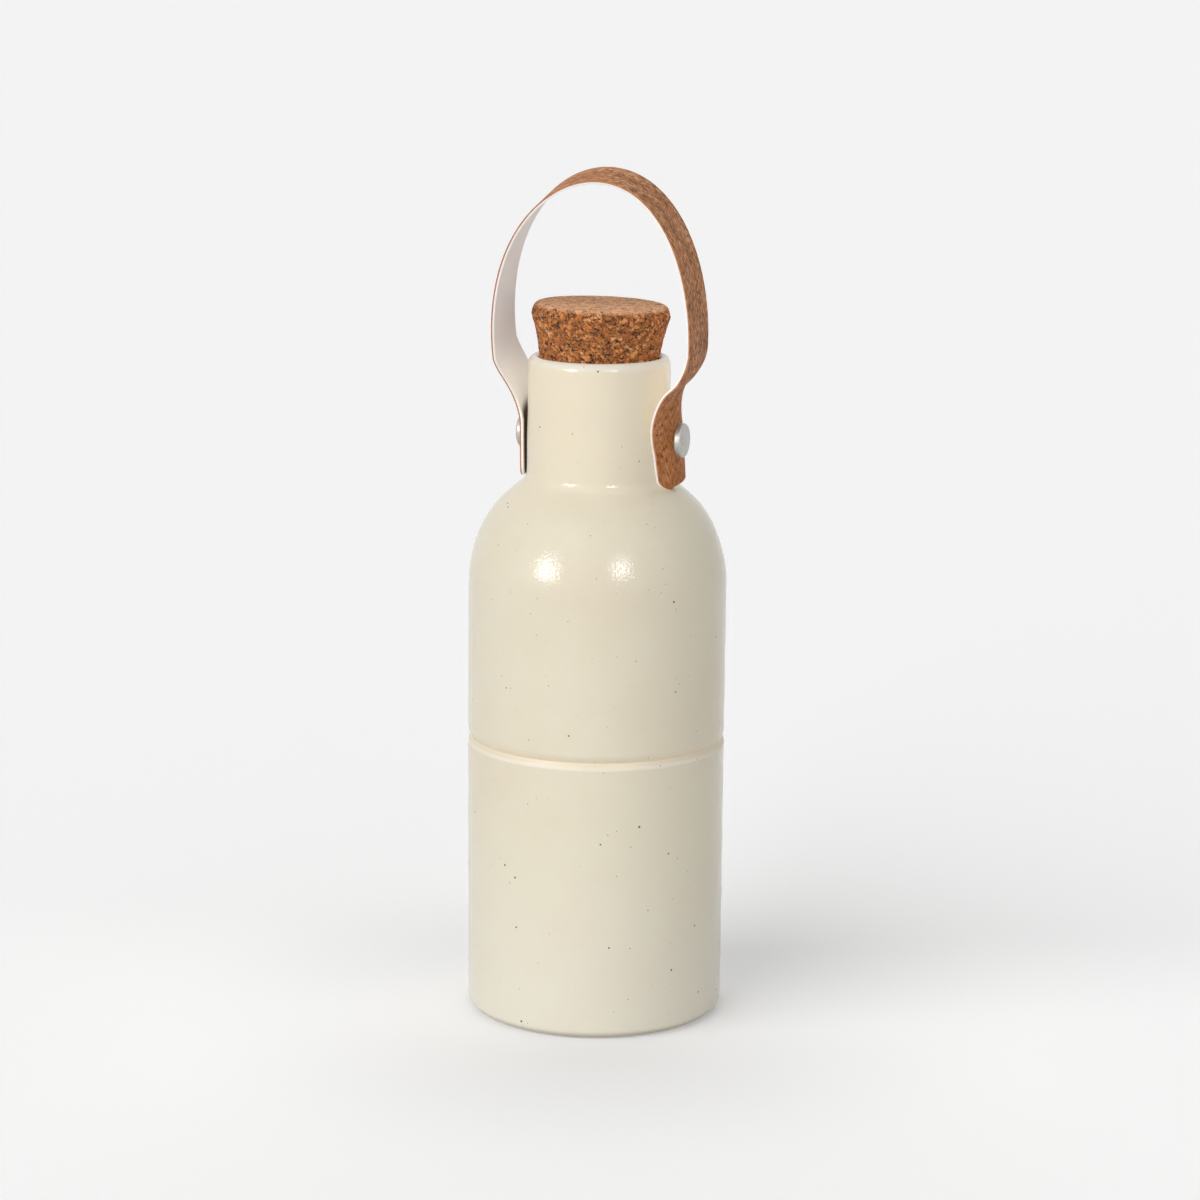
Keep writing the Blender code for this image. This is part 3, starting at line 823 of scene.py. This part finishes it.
class BOTTLE_OT_stopper(bpy.types.Operator):
    """Makes the cork stopper: a turned profile with granules pressed into it, sitting a little askew"""

    bl_idname = "bottle.stopper"
    bl_label = "Stopper"

    def execute(self, context):
        s = context.scene.stopper
        body = context.scene.bottle
        stage = context.scene.stage
        around = 420
        profile, sanded = stopper_profile(s, body.neck_top - body.neck_wall)
        points = turned_points(profile, around)
        soft = np.concatenate([np.repeat(sanded[1:-1], around), [1, 0]])
        tone, pit, level = cork_relief(s, points)
        raised = s.relief * level * (1 - 0.75 * soft)
        points = points + turned_normals(profile, around) * raised[:, None]
        view = (-math.sin(stage.azimuth), math.cos(stage.azimuth), 0)
        askew = np.array(Matrix.Rotation(s.tilt, 3, view))
        points = points @ askew.T + (0, 0, LIP_Z)
        made = add_mesh("cork_stopper_body", points, turned_faces(profile, around), stopper_cork(s))
        store(made, "pit", pit)
        store(made, "tone", tone)
        store(made, "sanded", soft)
        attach(made, "stopper")
        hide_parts("cork_stopper")
        return {"FINISHED"}


def strap_leg(s, side, apex_x):
    """One side of the arch's inner face as (x, height, half width): tab, cubic S-bend, quarter ellipse.

    The half width is rounded off by a quarter circle at each corner of the tab's end."""

    def size(name):
        return getattr(s, f"{side}_{name}")

    face, tab_length, round_end, straight = size("face"), size("tab"), size("corner"), size("straight")
    corner = round_end * (1 - np.cos(np.linspace(0, np.pi / 2, 14))) - tab_length
    heights = np.concatenate([corner, np.linspace(corner[-1], straight, 26)[1:]])
    tab = np.stack([np.full(len(heights), face), heights], axis=1)
    top_x, top = face + size("bulge"), size("bulge_height")
    reach = top - straight
    ends = np.array(
        [
            (face, straight),
            (face, straight + size("lower_pull") * reach),
            (top_x, top - size("upper_pull") * reach),
            (top_x, top),
        ]
    )
    t = np.linspace(0, 1, 40)[1:, None]
    shares = np.concatenate([(1 - t) ** 3, 3 * t * (1 - t) ** 2, 3 * t * t * (1 - t), t**3], axis=1)
    turn = np.linspace(0, np.pi / 2, 72)[1:]
    arch = np.stack(
        [apex_x + (top_x - apex_x) * np.cos(turn), top + (s.apex_height - top) * np.sin(turn)], axis=1
    )
    path = np.concatenate([tab, shares @ ends, arch])
    into = np.clip(round_end - (path[:, 1:] + tab_length), 0, round_end)
    half_width = s.width / 2 - round_end + np.sqrt(round_end**2 - into**2)
    return np.concatenate([path, half_width], axis=1)


def strap_placed(s, x, y, height):
    """Points of the upright band, with its tabs bent to the neck and tilted, its arch leaned and turned.

    Tilt and lean are about the rivet axis, the turn is about the bottle's axis. A tab bends by a parabola
    across its width."""
    free = smoothstep((height - s.lean_start) / s.lean_length)
    reach = max(s.left_face + s.left_bulge, s.right_face + s.right_bulge)
    share = smoothstep((x / reach + 1) / 2)

    def own(name):
        return np.where(x > 0, getattr(s, f"right_{name}"), getattr(s, f"left_{name}"))

    over = y / (s.width / 2)
    bent = x - np.sign(x) * (1 - free) * (own("hug") * over**2 - own("twist") * over)
    above = smoothstep((height / s.bend + 1) / 2)
    tilt = own("end_tilt") + (own("tilt") - own("end_tilt")) * above
    lean = tilt + free * (s.left_lean + (s.right_lean - s.left_lean) * share - tilt)
    turn = free * s.turn
    depth = y * np.cos(lean) - height * np.sin(lean)
    rise = height * np.cos(lean) + y * np.sin(lean)
    across = bent * np.cos(turn) - depth * np.sin(turn)
    return np.stack([across, bent * np.sin(turn) + depth * np.cos(turn), RIVET_Z + rise], axis=-1)


def wall_radius(profile, height):
    """The bottle's outside radius at each height, and 0 above the lip."""
    top = profile[:, 1].argmax()
    return np.interp(height, profile[:top, 1], profile[:top, 0], right=0.0)


def resting(points, gaps, profile):
    """Points, those in the bottle moved out along X to gaps off its radius: x^2 + y^2 = (r + gap)^2."""
    radius = wall_radius(profile, points[..., 2])
    room = np.where(radius > 0, (radius + gaps) ** 2 - points[..., 1] ** 2, 0)
    least = np.sqrt(np.clip(room, 0, None))
    moved = points.copy()
    moved[..., 0] = np.sign(points[..., 0]) * np.maximum(np.abs(points[..., 0]), least)
    return moved


def strap_section(inner, outer, edge_round, half_width):
    """A rounded rectangle: offsets from the inner face, sides from -1 to 1, shares of cut edge."""
    quarter = np.linspace(0, np.pi / 2, 4)
    up, out = np.sin(quarter), np.cos(quarter)
    bulge = edge_round / half_width
    flat = np.linspace(-1, 1, 18)[1:-1] * (1 - bulge)
    corners = [1 - bulge + bulge * up, 1 - bulge + bulge * out]
    sides = [flat, *corners, flat[::-1], *(-corner for corner in corners)]
    low, high = inner + edge_round, outer - edge_round
    offsets = [
        np.full(len(flat), outer),
        high + edge_round * out,
        low - edge_round * up,
        np.full(len(flat), inner),
        low - edge_round * out,
        high + edge_round * up,
    ]
    plain = np.zeros(len(flat))
    cut = [plain, up, out, plain, up, out]
    return tuple(np.concatenate(runs) for runs in (offsets, sides, cut))


def strap_band(name, s, inner, outer, bottle, material):
    """One layer of the band: its section carried along the path, placed, and laid on the bottle."""
    left, right = strap_leg(s, "left", -s.apex_shift), strap_leg(s, "right", s.apex_shift)
    stations = np.concatenate([left * (-1, 1, 1), right[-2::-1]])
    path, half = stations[:, :2], stations[:, 2:]
    offsets, sides, cut = strap_section(inner, outer, s.edge_round, s.width / 2)
    at = path[:, None, :] + offsets[None, :, None] * outward(path)[:, None, :]
    y = sides * half
    points = resting(strap_placed(s, at[..., 0], y, at[..., 1]), s.rest_gap + offsets, bottle)
    made = add_mesh(name, points.reshape(-1, 3), band_faces(len(path), len(offsets)), material)
    run = np.concatenate([[0], np.cumsum(np.linalg.norm(np.diff(path, axis=0), axis=1))])
    store_uv(made, np.repeat(run[:, None], len(offsets), axis=1), y)
    store(made, "edge", np.repeat(cut[None, :], len(path), axis=0))
    held = 1 - smoothstep((at[..., 1] - s.lean_start) / s.lean_length)
    store(made, "held", held)
    # The lining's painted shade: dark where it lies close to the glaze, fading out towards the band's
    # edges.
    gap = np.hypot(points[..., 0], points[..., 1]) - wall_radius(bottle, points[..., 2])
    inside = smoothstep((s.unshaded_edge - np.abs(sides)) / s.unshaded_fade)
    store(made, "close", smoothstep((s.painted_shade_gap - gap) / s.painted_shade_fade) * inside)
    return made


class BOTTLE_OT_strap(bpy.types.Operator):
    """Makes the strap: a pale lining and a cork sheet bonded to it, bending above its clamped tabs"""

    bl_idname = "bottle.strap"
    bl_label = "Strap"

    def execute(self, context):
        s = context.scene.strap
        bottle = outer_wall(context.scene.bottle)
        lining = strap_band("strap_lining_band", s, 0.0, s.lining, bottle, strap_lining(s))
        facing = strap_band("strap_cork_band", s, s.lining, s.lining + s.facing, bottle, strap_cork(s))
        held = (0, 0, RIVET_Z + s.flex_start)
        free = (0, -s.flex_front, RIVET_Z + s.flex_end)
        for made, node, slot in (
            (lining, "strap_backing", "strap_lining"),
            (facing, "strap_cork_face", "strap_cork"),
        ):
            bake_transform(made)
            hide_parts(node)
        return {"FINISHED"}


def head_profile(s, seat, tip):
    """Half section of a rivet screw along its axis: low dome, rounded rim, flat underside, plain core."""
    radius = (HEAD_TOP.z - HEAD_LOW.z) / 2
    face = seat + s.thickness - s.dome
    inner = radius - s.rim_round
    t = np.linspace(0, 1, 18)
    crown = np.stack([inner * t, face + s.dome * (1 - t**2)], axis=1)
    return joined(
        crown,
        arc((inner, face - s.rim_round), (s.rim_round, s.rim_round), 90, 0, 10),
        line((radius, face - s.rim_round), (radius, seat), 3),
        line((radius, seat), (s.screw_radius, seat), 4),
        line((s.screw_radius, seat), (s.screw_radius, tip), 3),
        line((s.screw_radius, tip), (0, tip), 3),
    )


class BOTTLE_OT_rivets(bpy.types.Operator):
    """Makes the two rivet heads and finishes the posts and seals inside the neck"""

    bl_idname = "bottle.rivets"
    bl_label = "Rivets"

    def execute(self, context):
        s = context.scene.rivets
        strap = context.scene.strap
        metal = rivet_metal(s)
        rubber = seal_rubber(s)
        around = 72
        for side, sign, face in (("left", -1, strap.left_face), ("right", 1, strap.right_face)):
            profile = head_profile(s, face + strap.lining + strap.facing, SCREW_TIPS[side])
            points = turned_points(profile, around)
            faces = turned_faces(profile, around)
            placed = np.stack([sign * points[:, 2], sign * points[:, 0], points[:, 1] + RIVET_Z], axis=1)
            made = add_mesh(f"{side}_rivet_head", placed, faces, metal)
            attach(made, "bottle_body")
            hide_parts(f"{side}_rivet_screw")
            for node, material in (("post", metal), ("seal", rubber)):
                kept = frame["nodes"][f"{side}_rivet_{node}"].data
                kept.materials.clear()
                kept.materials.append(material)
        return {"FINISHED"}


def add_camera(s):
    """A pinhole camera on a sphere about its target, level apart from a small roll."""
    level = math.cos(s.pitch)
    back = np.array([math.sin(s.azimuth) * level, -math.cos(s.azimuth) * level, math.sin(s.pitch)])
    right = np.array([math.cos(s.azimuth), math.sin(s.azimuth), 0])
    up = np.cross(back, right)
    eye = right * s.target_shift + (0, 0, s.target_height) + back * s.distance
    rolled_right = right * math.cos(s.roll) + up * math.sin(s.roll)
    rolled_up = up * math.cos(s.roll) - right * math.sin(s.roll)
    data = bpy.data.cameras.new("camera")
    data.sensor_width = 36.0
    data.sensor_fit = "HORIZONTAL"
    data.lens = data.sensor_width * s.focal_pixels / s.picture
    camera = add_object("camera", data)
    placed = np.stack([rolled_right, rolled_up, back, eye], axis=1)
    camera.matrix_world = Matrix(np.vstack([placed, [0, 0, 0, 1]]))
    bpy.context.scene.camera = camera


def add_lamps(s):
    """Three broad lamps that only shade, and two softboxes that only show as reflections in the glaze.

    All are far lamps. The right lamp is a plain fill, without a shadow of its own."""
    for name in LAMPS:
        data = bpy.data.lights.new(name, "SUN")
        data.energy = getattr(s, name)
        data.angle = getattr(s, f"{name}_width")
        data.use_shadow = name != "right_lamp"
        lamp = add_object(name, data)
        height, turn = getattr(s, f"{name}_height"), getattr(s, f"{name}_turn")
        lamp.rotation_euler = (math.pi / 2 - height, 0, s.azimuth + turn)
        lamp.visible_glossy = name.endswith("_box")
        lamp.visible_diffuse = not lamp.visible_glossy


def add_world(s):
    """A faint even light, behind a plain pale background."""
    world = bpy.data.worlds.new("studio")
    bpy.context.scene.world = world
    g = Graph(world)
    white = opaque((1, 1, 1))
    light, plain = (
        g.add("ShaderNodeBackground", {}, {"Color": white, "Strength": strength})
        for strength in (s.sky, s.background)
    )
    g.surface("World Output", g.add("ShaderNodeMixShader", {}, {0: g.seen(), 1: light, 2: plain}))


def floor_material(s):
    """A pale matt floor with painted shade round the bottle, that shows paler than the light it sends on.
    """
    g = Graph.material("studio_floor")
    g.tree.nodes.remove(g.tree.nodes["Principled BSDF"])
    away = g.add("ShaderNodeVectorMath", {"operation": "LENGTH"}, {0: g.place()}, "Value")
    plain, near, bounce = ((tone, tone, tone) for tone in (s.floor_tone, s.floor_shade_tone, s.floor_bounce))
    # Painted shade: a duller floor tone round the bottle's base.
    tone = g.mix(away.step(s.plain_radius, s.near_radius), plain, near)
    shown, sent = (g.add("ShaderNodeBsdfDiffuse", {}, {"Color": part}) for part in (tone, opaque(bounce)))
    glow = g.add("ShaderNodeEmission", {}, {"Strength": s.floor_glow})
    pale = g.add("ShaderNodeAddShader", {}, {0: shown, 1: glow})
    g.surface("Material Output", g.add("ShaderNodeMixShader", {}, {0: g.seen(), 1: sent, 2: pale}))
    return g.owner


class BOTTLE_OT_stage(bpy.types.Operator):
    """Makes the floor, the studio light and the camera"""

    bl_idname = "bottle.stage"
    bl_label = "Stage"

    def execute(self, context):
        s = context.scene.stage
        corners = s.floor_size * np.array([(-1, -1, 0), (1, -1, 0), (1, 1, 0), (-1, 1, 0)])
        floor = add_mesh("studio_floor", corners, [(0, 1, 2, 3)], floor_material(s))
        add_camera(s)
        add_lamps(s)
        add_world(s)
        context.scene.view_settings.view_transform = "Standard"
        return {"FINISHED"}


class BOTTLE_PT_panel(bpy.types.Panel):
    """Lists the pieces of the bottle"""

    bl_label = "Stoneware Bottle"
    bl_space_type = "VIEW_3D"
    bl_region_type = "UI"
    bl_category = "Bottle"

    def draw(self, context):
        for operator in OPERATORS:
            self.layout.operator(operator.bl_idname)


SETTINGS = {
    "bottle": BottleSettings,
    "stopper": StopperSettings,
    "strap": StrapSettings,
    "rivets": RivetSettings,
    "stage": StageSettings,
}
OPERATORS = (BOTTLE_OT_body, BOTTLE_OT_stopper, BOTTLE_OT_strap, BOTTLE_OT_rivets, BOTTLE_OT_stage)


def register():
    for made in (*SETTINGS.values(), *OPERATORS, BOTTLE_PT_panel):
        bpy.utils.register_class(made)
    for name, group in SETTINGS.items():
        setattr(bpy.types.Scene, name, PointerProperty(type=group))


def unregister():
    for name in SETTINGS:
        delattr(bpy.types.Scene, name)
    for made in (BOTTLE_PT_panel, *reversed(OPERATORS), *SETTINGS.values()):
        bpy.utils.unregister_class(made)


def main():
    register()
    bpy.ops.bottle.body()
    bpy.ops.bottle.stopper()
    bpy.ops.bottle.strap()
    bpy.ops.bottle.rivets()
    bpy.ops.bottle.stage()


if __name__ == "__main__":
    main()
